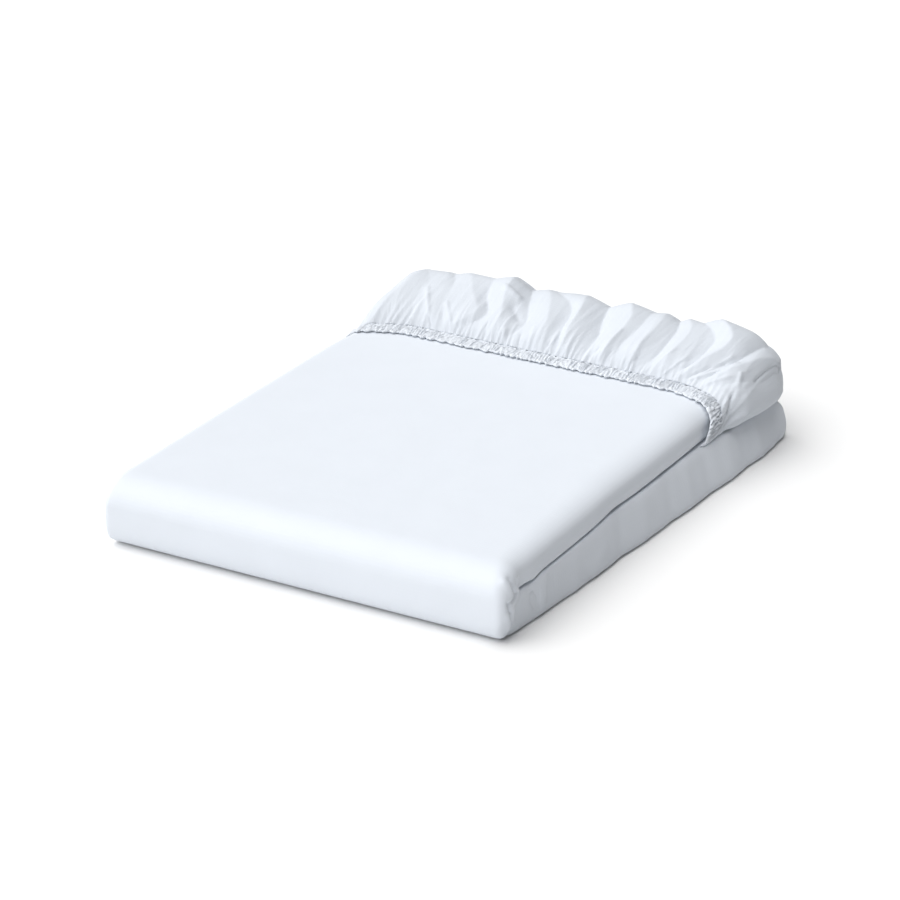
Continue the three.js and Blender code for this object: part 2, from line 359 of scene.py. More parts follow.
# Valleys and crests in turn, from the left to the right, with a flat place at either end
FOLDS = (
    Fold(-70, -70, -70, -70, 0, 0, 0),
    Fold(-14, -24, -28, -30, 0.7, 0.8, 1.0),
    Fold(-2, -10, -16, -18, -0.9, -0.7, -1.2),
    Fold(22, 16, 12, 0, 0.6, 0.6, 0.5),
    Fold(34, 28, 26, 14, -0.6, -0.5, -1.4),
    Fold(50, 44, 40, 30, 0.8, 0.4, -0.6),
    Fold(58, 50, 46, 36, -0.5, 0, -1.4),
    Fold(66, 76, 62, 48, 1.1, 1.6, 2.0),
    Fold(74, 84, 74, 68, -1.0, -1.2, 1.7),
    Fold(102, 96, 88, 83, 1.4, 2.4, 5.9),
    Fold(109, 114, 106, 98, -1.5, -2.5, -1.6),
    Fold(128, 130, 123, 110, 1.2, 2.0, 1.6),
    Fold(147, 143, 140, 117, -1.4, -1.7, 0.6),
    Fold(151, 148, 146, 140, 1.8, 2.7, 3.0),
    Fold(168, 169, 163, 158, -3.2, -4.3, -2.4),
    Fold(181, 182, 184, 174, 1.5, 1.8, 4.2),
    Fold(188, 190, 193, 193, -0.8, -0.4, 0.6),
    Fold(201, 202, 205, 202, 1.5, 2.1, 1.6),
    Fold(213, 218, 218, 212, -2.5, -2.4, -2.4),
    Fold(226, 227, 229, 219, 0.8, 1.2, 1.2),
    Fold(238, 246, 248, 230, -2.2, -2.4, 0.2),
    Fold(243, 252, 261, 243, 1.2, 2.5, 5.8),
    Fold(258, 268, 276, 281, -2.5, -3.0, -2.0),
    Fold(263, 275, 284, 294, 0.8, 1.2, 1.0),
    Fold(272, 287, 298, 300, -1.5, -1.2, -1.8),
    Fold(284, 300, 312, 314, 1.2, 1.5, 2.2),
    Fold(292, 314, 328, 336, -1.5, -1.2, -1.0),
    Fold(360, 360, 360, 360, 0, 0, 0),
)


class Wrinkle(NamedTuple):
    """A small crease of the hood: the places across and the shares of the way back of its two ends,
    how far it stands out, or in where it is negative, and how far it spreads to either side."""

    place: float
    back: float
    to_place: float
    to_back: float
    height: float
    width: float


WRINKLES = (
    Wrinkle(30, 0.33, 47, 0.1, 0.9, 3),
    Wrinkle(47, 0.1, 50, 0.02, -1.6, 1.8),
    Wrinkle(52, 0.24, 62, 0.12, 0.8, 2.5),
    Wrinkle(62, 0.12, 66, 0.04, 0.9, 2),
    Wrinkle(74, 0.1, 72, 0.02, 1.0, 2),
    Wrinkle(90, 0.14, 92, 0.0, -1.0, 3),
    Wrinkle(84, 0.43, 98, 0.39, 1.8, 4),
    Wrinkle(99, 0.31, 108, 0.24, -1.8, 8),
    Wrinkle(105, 0.12, 108, 0.03, 1.6, 3.5),
    Wrinkle(117, 0.12, 119, 0.02, -1.0, 2),
    Wrinkle(119, 0.68, 131, 0.68, 3.6, 11),
    Wrinkle(124, 0.2, 127, 0.03, 0.7, 2),
    Wrinkle(140, 0.1, 141, 0.0, -1.2, 2),
    Wrinkle(176, 0.14, 172, 0.02, -1.2, 3.5),
    Wrinkle(180, 0.04, 184, 0.3, 1.0, 2.2),
    Wrinkle(186, 0.13, 184, 0.02, -0.8, 2.5),
    Wrinkle(200, 0.68, 206, 0.68, 2.6, 9),
    Wrinkle(206, 0.12, 203, 0.02, -1.2, 4),
    Wrinkle(221, 0.1, 228, 0.24, 0.7, 2),
    Wrinkle(229, 0.04, 238, 0.2, 0.8, 2),
    Wrinkle(246, 0.05, 266, 0.24, -1.2, 2.4),
    Wrinkle(250, 0.05, 275, 0.27, 1.4, 1.9),
    Wrinkle(262, 0.05, 276, 0.16, 1.2, 1.8),
    Wrinkle(281, 0.22, 287, 0.14, 1.5, 1.7),
    Wrinkle(268, 0.3, 256, 0.12, 1.0, 1.8),
    Wrinkle(285, 0.1, 291, 0.05, -2.6, 4),
    Wrinkle(300, 0.08, 306, 0.2, 1.6, 4),
    Wrinkle(292, 0.3, 296, 0.62, -1.3, 2.2),
)

# The small gathers that the elastic draws up: the least and the most of each one's distance from the
# one before, height and width as shares of the usual ones, of how far it leans over the whole way
# back, and of the share of that way over which it dies out; and how many times as wide it is at the
# elastic, and how much more at the back foot
GATHER_SPACING = (0.55, 1.6)
GATHER_HEIGHT = (0.3, 1.2)
GATHER_WIDTH = (0.25, 0.55)
GATHER_LEAN = (-14, 14)
GATHER_FADE = (0.06, 0.22)
GATHER_AT_ELASTIC = 1.3
GATHER_SPREAD = 5

# The elastic edge: where its front lies, how square its section is, and the steps of its mesh along
# and round it
BAND_FRONT = 307
BAND_CORNER = 3
BAND_STEPS = 1100
BAND_SIDES = 28

# How far forward the edge is drawn at each end, where it tucks in between the two halves, over what
# share of its length, and how suddenly
TUCK_FORWARD = 30
TUCK_SWING = 0.2
TUCK_POWER = 1.9

# Over what share of its length the gathers and pleats at either end are pressed flat, how much wider
# the edge is there than on top, where the elastic draws it together, and over what share
TUCK_CALM = 0.03
WIDER_AT_ENDS = 0.3
WIDER_SHARE = 0.12


class Ripple(NamedTuple):
    """An uneven change along the elastic edge: how large it is, and the length that one takes."""

    size: float
    length: float


# The pleats: how far they slant, how unevenly they follow each other, in radians, their usual share
# of the full height with the change to either side, and how much lower they are at the edge's sides
PLEAT_SLANT = Ripple(2.5, 7)
PLEAT_SHIFT = Ripple(3.5, 4)
PLEAT_SHARE = 0.55
PLEAT_CHANGE = Ripple(0.45, 3)
PLEAT_LOSS = 0.6

# The crumples on the pleats: how far they stand out, their length along the edge, and their width as
# a share of half the edge's
CRUMPLE_HEIGHT = 0.75
CRUMPLE_LENGTH = 1.3
CRUMPLE_WIDTH = 0.22

# The two lines of stitches: how far they draw the cloth in, and their place and width as shares of
# half the edge's width
STITCH_DEPTH = 0.35
STITCH_PLACE = 0.55
STITCH_WIDTH = 0.15

# How far the sides of the elastic edge wave in and out
SIDE_WAVE = Ripple(1.3, 1.6)

SEED = 11


def placed(points):
    """Points of the packet's own frame, in millimetres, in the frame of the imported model, in metres."""
    low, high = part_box("panel")
    back = END_START + END_REACH
    origin = np.array([low.x, high.y - back * MM, low.z - UNDERSIDE * MM])
    return np.asarray(points) * MM + origin


def smooth(share):
    """A number that swells smoothly from 0 to 1."""
    s = np.clip(share, 0, 1)
    return s * s * (3 - 2 * s)


def bell(away):
    """A soft bell that has all but gone at 1 to either side."""
    return np.exp(-2 * away * away)


def crisp(away):
    """A crease with a tight crest that runs out softly, and has all but gone at 1 to either side."""
    return np.exp(-3 * (np.sqrt(away * away + 0.03) - math.sqrt(0.03)))


def squared_circle(angle, power):
    """The two coordinates of a unit superellipse in the direction of an angle from its first axis."""
    across = np.cos(angle)
    along = np.sin(angle)
    size = (np.abs(across) ** power + np.abs(along) ** power) ** (-1 / power)
    return across * size, along * size


def through(keys, values, at):
    """A smooth line through values at rising keys that doesn't overshoot them."""
    keys = np.asarray(keys, float)
    values = np.asarray(values, float)
    step = np.diff(keys)
    rise = np.diff(values) / step
    slope = np.zeros(len(keys))
    product = rise[:-1] * rise[1:]
    steady = product > 0
    slope[1:-1][steady] = 2 * product[steady] / (rise[:-1] + rise[1:])[steady]
    slope[0] = rise[0]
    slope[-1] = rise[-1]
    k = np.clip(np.searchsorted(keys, at) - 1, 0, len(step) - 1)
    t = np.clip((at - keys[k]) / step[k], 0, 1)
    here = values[k] * (1 + 2 * t) * (1 - t) ** 2 + step[k] * slope[k] * t * (1 - t) ** 2
    return here + values[k + 1] * t * t * (3 - 2 * t) + step[k] * slope[k + 1] * t * t * (t - 1)


def wander(rng, at, step):
    """A smooth random line from -1 to 1 that changes about once in a step."""
    place = (at - np.min(at)) / step
    knots = rng.uniform(-1, 1, int(np.max(place)) + 3)
    k = place.astype(int)
    return knots[k] + (knots[k + 1] - knots[k]) * smooth(place - k)


def mottle(rng, across, along, step_across, step_along):
    """Smooth random patches from -1 to 1, of about the given sizes."""
    a = (across - np.min(across)) / step_across
    b = (along - np.min(along)) / step_along
    knots = rng.uniform(-1, 1, (int(np.max(a)) + 3, int(np.max(b)) + 3))
    i = a.astype(int)
    j = b.astype(int)
    u = smooth(a - i)
    v = smooth(b - j)
    near = knots[i, j] * (1 - u) + knots[i + 1, j] * u
    far = knots[i, j + 1] * (1 - u) + knots[i + 1, j + 1] * u
    return near * (1 - v) + far * v


def rippled(rng, at, ripple):
    """A smooth random line along the elastic edge, as uneven as the ripple says."""
    return ripple.size * wander(rng, at, ripple.length)


def unit(vectors):
    """Vectors at a length of one."""
    return vectors / np.maximum(np.linalg.norm(vectors, axis=-1, keepdims=True), 1e-9)


def normals(points):
    """The directions that a grid of points faces, from its columns and rows."""
    return unit(np.cross(np.gradient(points, axis=0), np.gradient(points, axis=1)))


def creased(points, creases, outward):
    """How far creases move each point out of the surface that it lies on."""
    height = np.zeros(points.shape[:-1])
    for crease in creases:
        start = np.array(crease.start, float)
        run = np.array(crease.end, float) - start
        share = np.clip((points - start) @ run / (run @ run), 0, 1)
        away = np.linalg.norm(points - start - share[..., None] * run, axis=-1)
        height += crease.height * bell(away / crease.width)
    return points + height[..., None] * outward


def travelled(points):
    """Distance along a line of points from its first one."""
    return np.concatenate([[0], np.cumsum(np.linalg.norm(np.diff(points, axis=0), axis=1))])


def measured(points, row, column):
    """Each point's place on the flat cloth, measured along one row and one column of the grid."""
    across = travelled(points[row])
    along = travelled(points[:, column])
    return np.stack(np.broadcast_arrays(across[None, :], along[:, None]), axis=-1)


def grid_object(name, points, uv, closed=False):
    """A mesh object with a smooth face between each four neighbours of a grid of points, in
    millimetres; closed joins its last column to its first and shuts both ends."""
    rows, columns = points.shape[:2]
    corner = np.arange(rows * columns).reshape(rows, columns)
    if closed:
        corner = np.concatenate([corner, corner[:, :1]], axis=1)
    faces = np.stack([corner[:-1, :-1], corner[:-1, 1:], corner[1:, 1:], corner[1:, :-1]], axis=-1)
    faces = faces.reshape(-1, 4).tolist()
    if closed:
        faces += [corner[0, :-1][::-1].tolist(), corner[-1, :-1].tolist()]
    mesh = bpy.data.meshes.new(name)
    mesh.from_pydata(placed(points).reshape(-1, 3).tolist(), [], faces)
    layer = mesh.uv_layers.new(name="cloth")
    vertex = np.zeros(len(mesh.loops), int)
    mesh.loops.foreach_get("vertex_index", vertex)
    layer.uv.foreach_set("vector", (uv.reshape(-1, 2) * MM)[vertex].astype(np.float32).ravel())
    mesh.shade_smooth()
    piece = bpy.data.objects.new(name, mesh)
    bpy.context.scene.collection.objects.link(piece)
    return piece


def thicken(piece, thickness):
    """Gives a sheet its cloth's thickness, half to either side."""
    solid = piece.modifiers.new("cloth thickness", "SOLIDIFY")
    solid.thickness = thickness
    solid.offset = 0
    return piece


class Run(NamedTuple):
    """The columns of the panel's cloth, across a section: the share of the way from the left inset
    to the right turn, that inset, how deep in its half the middle of a layer or turn lies, half the
    depth of a turn and the angle round it, the turn's side, 1 for the right and -1 for the left, how
    many turns lie outside it, and the layer."""

    share: np.ndarray
    inset: np.ndarray
    middle: np.ndarray
    half: np.ndarray
    angle: np.ndarray
    side: np.ndarray
    nest: np.ndarray
    layer: np.ndarray


def panel_run():
    """The whole back-and-forth run of the cloth across one section of the packet."""
    stations = []
    for k, layer in enumerate(LAYER_ORDER):
        runs_right = k % 2 == 0
        count = LAYER_COLUMNS.get(layer, INNER_LAYER_COLUMNS)
        first = 0 if k == 0 else 1
        last = count + 1 if k == LAYERS - 1 else count
        for share in np.linspace(0, 1, count + 1)[first:last]:
            crowded = share**CROWDING if layer == 1 else share
            stations.append(Run(
                share=share if runs_right else 1 - crowded,
                inset=LEFT_INSET[layer],
                middle=(layer - 0.5) * PITCH,
                half=0,
                angle=0,
                side=0,
                nest=0,
                layer=layer,
            ))
        if k == LAYERS - 1:
            break
        after = LAYER_ORDER[k + 1]
        middle = ((layer + after) / 2 - 0.5) * PITCH
        half = (layer - after) / 2 * PITCH
        nest = (LAYERS - 1 - abs(layer - after)) // 2
        columns = TURN_COLUMNS[nest] if runs_right else LEFT_FOLD_COLUMNS
        for angle in np.linspace(0, math.pi, columns + 1):
            stations.append(Run(
                share=1 if runs_right else 0,
                inset=LEFT_INSET[layer],
                middle=middle,
                half=half,
                angle=angle,
                side=1 if runs_right else -1,
                nest=nest if runs_right else 0,
                layer=layer,
            ))
    return Run(*(np.array(column, float) for column in zip(*stations)))


class PanelRows(NamedTuple):
    """The rows of the panel's mesh along the strip: place along it, the angle round the bend, or
    round the rounded back end, and which half each is on, 1 for the upper and -1 for the lower."""

    along: np.ndarray
    bend: np.ndarray
    end: np.ndarray
    half: np.ndarray


def panel_rows(bend_depth):
    """The rows of the panel, from the lower back end, round the front, to the upper back end."""
    quarter = math.pi / 2
    end = np.linspace(quarter, 0, END_ROWS + 1)[:-1]
    lower = np.linspace(END_START, bend_depth, LOWER_ROWS + 1)[:-1]
    bend = np.linspace(-quarter, quarter, BEND_ROWS)
    upper = np.linspace(bend_depth, UPPER_BACK, UPPER_ROWS + 1)[1:]
    y = np.concatenate([END_START + END_REACH * np.sin(end), lower, np.full(BEND_ROWS, bend_depth), upper])
    below = np.full(END_ROWS + LOWER_ROWS, -1.0)
    above = np.full(UPPER_ROWS, 1.0)
    half = np.concatenate([below, np.sign(bend), above])
    turned = np.concatenate([below * quarter, bend, above * quarter])
    along = half * (y - bend_depth) + QUARTER_BEND * turned / quarter
    round_end = np.concatenate([end, np.zeros(len(y) - END_ROWS)])
    return PanelRows(along, turned, round_end, half)


def sections_at(along):
    """The measures of the panel's cross section at each place along the strip, as columns."""
    keys = [section.along for section in SECTIONS]
    measures = (
        through(keys, [getattr(section, name) for section in SECTIONS], along)[:, None]
        for name in Section._fields[1:]
    )
    return Section(along[:, None], *measures)


def panel_points(sizes):
    """The middle of the panel's cloth, a row for each place along the strip, with its rows and run."""
    bend_depth = sizes.bend_depth / MM
    lower_height = sizes.lower_height / MM
    run = panel_run()
    rows = panel_rows(bend_depth)
    section = sections_at(rows.along)

    # Depth in the half, from -0.5 at its outside to 0.5 at the line, and height over the line from 0 to 1
    square = np.where(run.angle < math.pi / 2, LINE_SQUARE, section.square)
    turn_in, turn_out = squared_circle(run.angle, square)
    depth = run.middle + run.half * turn_in - 0.5
    end_in, end_out = squared_circle(rows.end[:, None], END_POWER)
    from_line = 0.5 - depth * end_in

    # Across the packet, with the turns nested at the right side
    side_x = section.line + (section.outside - section.line) * from_line
    side_x = side_x + section.flare * np.maximum(1 - from_line / FLARE_SHARE, 0) ** 2
    reach_out = section.round - CLOTH_AT_TURN / 2
    nest_pitch = np.minimum(WIDEST_TURN_PITCH, (reach_out - TIGHTEST_TURN) / (len(TURN_COLUMNS) - 1))
    reach = np.where(run.side > 0, reach_out - run.nest * nest_pitch, LEFT_FOLD_REACH)
    x = run.share * (side_x - section.round) + (1 - run.share) * (section.left + run.inset)
    x = x + run.side * reach * turn_out

    # Up and along, where the halves close on each other at the right side
    near_side = smooth(1 - (section.outside - x) / CLOSED_REACH)
    closed = CLOSED_BY * near_side * np.clip(1 - from_line / (CLOSED_LAYERS * PITCH), 0, 1)
    from_line = from_line - closed
    middle = lower_height + (section.line_height - lower_height) * near_side
    top = (sizes.lower_height + sizes.upper_height - sizes.left_drop * smooth(1 - x / PACKET_WIDTH)) / MM
    power = np.where(rows.half[:, None] > 0, *BEND_POWERS)
    bend_in, bend_up = squared_circle(rows.bend[:, None], power)
    height = np.where(bend_up < 0, middle, top - middle)
    z = middle + height * bend_up * from_line
    past_bend = np.abs(rows.along[:, None]) - QUARTER_BEND
    y = np.where(past_bend > 0, bend_depth + past_bend, bend_depth - bend_depth * bend_in * from_line)
    end_depth = np.where(run.side > 0, run.half, np.abs(depth))
    end_y = END_START + END_REACH * end_depth * 2 * end_out
    y = np.where(rows.end[:, None] > 0, end_y, y)

    points = np.stack(np.broadcast_arrays(x, y, z), axis=-1)
    outermost = (run.layer == 1) | ((run.layer == LAYERS) & (run.side > 0))
    return creased(points, PANEL_CREASES, normals(points) * outermost[None, :, None]), rows, run


def half_arch(flat, rise, round_, curl):
    """Half the length of an arch, from the middle of its top down to where it curls in."""
    return flat + math.pi / 2 * round_ + rise - round_ - curl + curl * CURL_TURN


def drawn_forward(share):
    """How far forward the hood's front is drawn at a share of the arch, 0 at the right, 1 at the left."""
    from_end = np.minimum(share, 1 - share) / TUCK_SWING
    return TUCK_FORWARD * np.maximum(1 - from_end, 0) ** TUCK_POWER


def tucked(share):
    """From 0 at either end of the arch, where the cloth is held between the halves, to 1 past it."""
    return smooth(np.minimum(share, 1 - share) / TUCK_CALM)


class Arch(NamedTuple):
    """A point on the hood's smooth arches: where it is, its way out, and the distance along the arch
    counted on from the packet's left side."""

    x: np.ndarray
    y: np.ndarray
    z: np.ndarray
    out_x: np.ndarray
    out_z: np.ndarray
    place: np.ndarray


def arch_point(share, back):
    """The hood at a share of the arch, 0 at the right foot and 1 at the left, and of the way back."""
    keys = np.linspace(0, 1, len(HOOD))
    y, rise, left, right, left_round, right_round, curl, corner, _ = (
        through(keys, [getattr(row, name) for row in HOOD], back) for name in HoodRow._fields
    )
    round_ = np.where(share < 0.5, right_round, left_round)
    flat = (right - left) / 2 - round_
    distance = (1 - 2 * share) * half_arch(flat, rise, round_, curl)
    side = np.sign(distance)
    past = np.maximum(np.abs(distance) - flat, 0)
    turn = np.minimum(past / round_, math.pi / 2)
    straight = rise - round_ - curl
    down = np.clip(past - math.pi / 2 * round_, 0, straight)
    under = np.clip((past - math.pi / 2 * round_ - straight) / curl, 0, CURL_TURN)
    reach = np.minimum(np.abs(distance), flat) + round_ * np.sin(turn) - curl * (1 - np.cos(under))
    z = rise - round_ + round_ * np.cos(turn) - down - curl * np.sin(under)
    facing = turn + under
    middle = (left + right) / 2
    y = y - corner * (1 - np.cos(turn))
    return Arch(middle + side * reach, y, z, side * np.sin(facing), np.cos(facing), middle + distance)


def settled(x, z, sizes):
    """Height of the hood over the line between the halves, lower where the upper half lies lower."""
    upper_height = sizes.upper_height / MM
    drop = sizes.left_drop / MM * smooth(1 - x / PACKET_WIDTH) * np.clip(z / upper_height, 0, 1)
    return sizes.lower_height / MM + HOOD_FOOT + z - drop


def fold_places(share):
    """Where the main folds' crests and valleys lie at a share of the way back."""
    top = FOLD_SHARES[-1]
    before_top = min(share, top)
    places = np.array([through(FOLD_SHARES, (f.near, f.low, f.high, f.top), before_top) for f in FOLDS])
    past_top = max(share - top, 0) / (1 - top)
    return places + (PACKET_WIDTH / 2 - places) * BACK_CLOSING * past_top


def fold_reaches(share):
    """How far the main folds' crests and valleys stand out at a share of the way back."""
    heights = ((0, f.near_height, f.mid_height, f.top_height, f.top_height / 2, 0) for f in FOLDS)
    return np.array([through(HEIGHT_SHARES, height, share) for height in heights])


def fold_height(place, back):
    """How far the main folds stand out, a row for each share of the way back: soft arcs of cloth over
    the crests, which meet in sharper valleys."""
    height = np.zeros(place.shape)
    for row, share in enumerate(back[:, 0]):
        across = fold_places(share)
        tall = fold_reaches(share)
        k = np.clip(np.searchsorted(across, place[row]) - 1, 0, len(FOLDS) - 2)
        way = np.clip((place[row] - across[k]) / (across[k + 1] - across[k]), 0, 1)
        rises = k % 2 == 0
        from_valley = np.where(rises, way, 1 - way)
        valley = np.where(rises, tall[k], tall[k + 1])
        crest = np.where(rises, tall[k + 1], tall[k])
        arc = np.sin(from_valley * math.pi / 2)
        height[row] = valley + (crest - valley) * (arc + (from_valley - arc) * FLATNESS)
    return height


def wrinkle_height(place, back):
    """How far the small creases stand out."""
    height = np.zeros(np.broadcast(place, back).shape)
    for w in WRINKLES:
        run = np.array([w.to_place - w.place, (w.to_back - w.back) * HOOD_DEPTH])
        from_start = (place - w.place, (back - w.back) * HOOD_DEPTH)
        share = (from_start[0] * run[0] + from_start[1] * run[1]) / (run @ run)
        near = np.clip(share, 0, 1)
        away = np.hypot(from_start[0] - near * run[0], from_start[1] - near * run[1])
        height += w.height * crisp(away / w.width)
    return height


def small_gathers(place, back, spacing, height):
    """The small gathers that the elastic draws up, which die out towards the back."""
    rng = np.random.default_rng(SEED)
    total = np.zeros(np.broadcast(place, back).shape)
    at = np.min(place)
    while at < np.max(place):
        at += spacing * rng.uniform(*GATHER_SPACING)
        lean = rng.uniform(*GATHER_LEAN)
        tall = height * rng.uniform(*GATHER_HEIGHT)
        wide = spacing * rng.uniform(*GATHER_WIDTH)
        fade = rng.uniform(*GATHER_FADE)
        shape = crisp((place - at - lean * back) / (wide * (GATHER_AT_ELASTIC + GATHER_SPREAD * back)))
        total += tall * shape * np.exp(-back / fade)
    return total


def hood_points(packet, skirt):
    """The middle of the skirt's cloth where it forms the hood, a row for each share of the way back."""
    back = np.linspace(0, 1, HOOD_ROWS)[:, None]
    share = np.linspace(0, 1, HOOD_COLUMNS)[None, :]
    arch = arch_point(share, back)
    y = arch.y - drawn_forward(share) * (1 - back)
    points = np.stack(np.broadcast_arrays(arch.x, y, settled(arch.x, arch.z, packet)), axis=-1)
    swell = through(np.linspace(0, 1, len(HOOD)), [row.swell for row in HOOD], back)
    out = swell * (fold_height(arch.place, back) + wrinkle_height(arch.place, back))
    gathers = small_gathers(arch.place, back, skirt.gather_spacing / MM, skirt.gather_height / MM)
    out += gathers * tucked(share)
    return points + out[..., None] * normals(points)


def band_points(packet, elastic):
    """The skin of the elastic edge: a rounded flat section carried over the hood's first arch."""
    rng = np.random.default_rng(SEED + 1)
    share = np.linspace(0, 1, BAND_STEPS)[:, None]
    arch = arch_point(share, np.zeros_like(share))
    ring = -2 * math.pi * (np.arange(BAND_SIDES) + 0.5) / BAND_SIDES
    across, along = squared_circle(ring[None, :], BAND_CORNER)
    place = arch.place
    calm = tucked(share)

    # The pleats stand out up to twice as far down the packet's sides as on top
    pace = 2 * math.pi / (elastic.pleat_spacing / MM)
    slant = rippled(rng, place, PLEAT_SLANT)
    phase = pace * (place + slant * across) + rippled(rng, place, PLEAT_SHIFT)
    tall = PLEAT_SHARE + rippled(rng, place, PLEAT_CHANGE)
    pleat = elastic.pleat_height / MM * tall * np.cos(phase)
    crumple = mottle(rng, place + 0 * across, across + 0 * place, CRUMPLE_LENGTH, CRUMPLE_WIDTH)
    pleat = (pleat + CRUMPLE_HEIGHT * crumple) * (1 + np.abs(arch.out_x)) * calm
    stitch = -STITCH_DEPTH * bell((np.abs(across) - STITCH_PLACE) / STITCH_WIDTH)
    relief = np.where(along > 0, pleat * (1 - PLEAT_LOSS * across**4) + stitch, 0)
    out = along * (elastic.thickness / MM / 2 + relief)

    width = elastic.width / MM
    wave = rippled(rng, place, SIDE_WAVE) * np.abs(across) ** 3 * calm
    near_end = 1 - smooth(np.minimum(share, 1 - share) / WIDER_SHARE)
    half_width = width / 2 * (1 + WIDER_AT_ENDS * near_end)
    x = arch.x + out * arch.out_x
    y = BAND_FRONT + width / 2 + half_width * across + wave - drawn_forward(share)
    z = settled(arch.x, arch.z, packet) + out * arch.out_z
    round_place = width * np.arange(1, BAND_SIDES + 1) / BAND_SIDES
    uv = np.stack(np.broadcast_arrays(place, round_place), axis=-1)
    return np.stack(np.broadcast_arrays(x, y, z), axis=-1), uv


def add_node(tree, kind, settings=(), links=()):
    """Adds a node with its settings, values by input name or number, and links from other nodes."""
    node = tree.nodes.new(kind)
    for name, value in dict(settings).items():
        if isinstance(name, int) or name in node.inputs:
            node.inputs[name].default_value = value
        else:
            setattr(node, name, value)
    for name, (source, output) in dict(links).items():
        tree.links.new(source.outputs[output], node.inputs[name])
    return node


class Cloth(NamedTuple):
    """How a cloth looks, with its lengths in millimetres: its roughness and sheen, the width of its
    threads and how far they stand out, the width and length of its soft patches, how far those stand
    out, and how dark the darkest ones are beside the cloth's colour."""

    roughness: float
    sheen: float
    thread: float
    thread_depth: float
    patch: tuple
    patch_depth: float
    darkest: float


# Each cloth's threads are drawn about four times as coarse as real ones, which are too fine to show.
# The panel's soft hollows, the skirt's fine gathers that run back from the elastic, and the binding's
# crumples have their true size
PANEL_CLOTH = Cloth(0.9, 0.15, 1.2, 0.025, (30, 30), 0.4, 0.965)
SKIRT_CLOTH = Cloth(0.88, 0.15, 1.2, 0.02, (4.5, 26), 0.5, 0.965)
# On the binding the darkest patches, at 0.8 of its colour, are painted shade: dark specks that stand in
# for the shade between its pleats and crumples
BINDING_CLOTH = Cloth(0.9, 0.1, 1, 0.1, (1.8, 3), 0.8, 0.8)

# The distance between two crests of the wave texture at a scale of 1
WAVE_LENGTH = 2 * math.pi / 20


def cloth_material(name, base, cloth):
    """A woven cloth: two sets of threads across each other, soft patches where the cloth is a
    little thicker or thinner, which also darken its colour, and fibres that catch the light at a
    grazing angle. On the panel and skirt the darker patches are a random tone; on the binding they
    are painted shade, dark specks that stand in for the shade between its pleats and crumples."""
    material = bpy.data.materials.new(name)
    material.use_nodes = True
    tree = material.node_tree
    tree.nodes.clear()
    place = add_node(tree, "ShaderNodeTexCoord")

    # A thread and the gap beside it, which is as wide, make up one wave
    waves = [
        add_node(
            tree,
            "ShaderNodeTexWave",
            {
                "bands_direction": direction,
                "Scale": WAVE_LENGTH / (2 * cloth.thread * MM),
                "Distortion": 1.2,
                "Detail": 1.0,
                "Detail Scale": 0.4,
            },
            {"Vector": (place, "UV")},
        )
        for direction in ("X", "Y")
    ]
    weave = add_node(
        tree,
        "ShaderNodeMath",
        {"operation": "MULTIPLY"},
        {0: (waves[0], "Fac"), 1: (waves[1], "Fac")},
    )
    across, along = (1 / (size * MM) for size in cloth.patch)
    stretched = add_node(
        tree,
        "ShaderNodeMapping",
        {"Scale": (across, along, 1)},
        {"Vector": (place, "UV")},
    )
    patches = add_node(
        tree,
        "ShaderNodeTexNoise",
        {"Scale": 1.0, "Detail": 3.0},
        {"Vector": (stretched, "Vector")},
    )

    # The patches also darken the colour: a random tone on the panel and skirt, painted shade on the
    # binding
    # The colour mix has its two colours at inputs 6 and 7 and its result at output 2
    mix = add_node(
        tree,
        "ShaderNodeMix",
        {"data_type": "RGBA", 6: (*base, 1), 7: (*(c * cloth.darkest for c in base), 1)},
        {"Factor": (patches, "Fac")},
    )
    soft = add_node(
        tree,
        "ShaderNodeBump",
        {"Strength": 1.0, "Distance": cloth.patch_depth * MM},
        {"Height": (patches, "Fac")},
    )
    bump = add_node(
        tree,
        "ShaderNodeBump",
        {"Strength": 1.0, "Distance": cloth.thread_depth * MM},
        {"Height": (weave, "Value"), "Normal": (soft, "Normal")},
    )
    shader = add_node(
        tree,
        "ShaderNodeBsdfPrincipled",
        {
            "Roughness": cloth.roughness,
            "Sheen Weight": cloth.sheen,
            "Sheen Roughness": 0.5,
            "IOR": 1.45,
            "Specular IOR Level": 0.2,
        },
        {"Normal": (bump, "Normal"), "Base Color": (mix, 2)},
    )
    add_node(tree, "ShaderNodeOutputMaterial", {}, {"Surface": (shader, "BSDF")})
    return material


class PROTECTOR_OT_panel(bpy.types.Operator):
    """Adds the panel, folded in eight layers and doubled over at the front"""

    bl_idname = "protector.panel"
    bl_label = "Folded panel"

    def execute(self, context):
        sizes = context.scene.protector_packet
        points, rows, run = panel_points(sizes)
        on_top = int(np.argmax(rows.bend >= math.pi / 2))
        outermost = int(np.argmax(run.layer == 1))
        uv = measured(points, on_top, outermost)
        panel = thicken(grid_object("folded_panel", points, uv), sizes.cloth)
        # Smooth and matt: the eye takes it for closely woven cotton
        panel.data.materials.append(cloth_material("woven cotton blend", sizes.colour, PANEL_CLOTH))
        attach(panel, "root")
        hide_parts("panel")
        return {"FINISHED"}


class PROTECTOR_OT_elastic(bpy.types.Operator):
    """Adds the ruched elastic edge of the skirt"""

    bl_idname = "protector.elastic"
    bl_label = "Elastic edge"

    def execute(self, context):
        elastic = context.scene.protector_elastic
        points, uv = band_points(context.scene.protector_packet, elastic)
        band = grid_object("ruched_elastic_edge", points, uv, closed=True)
        # Crumpled and speckled with shade: the eye takes it for binding drawn up on elastic
        band.data.materials.append(cloth_material("ruched cotton binding", elastic.colour, BINDING_CLOTH))
        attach(band, "root")
        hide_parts("elastic_edge")
        return {"FINISHED"}


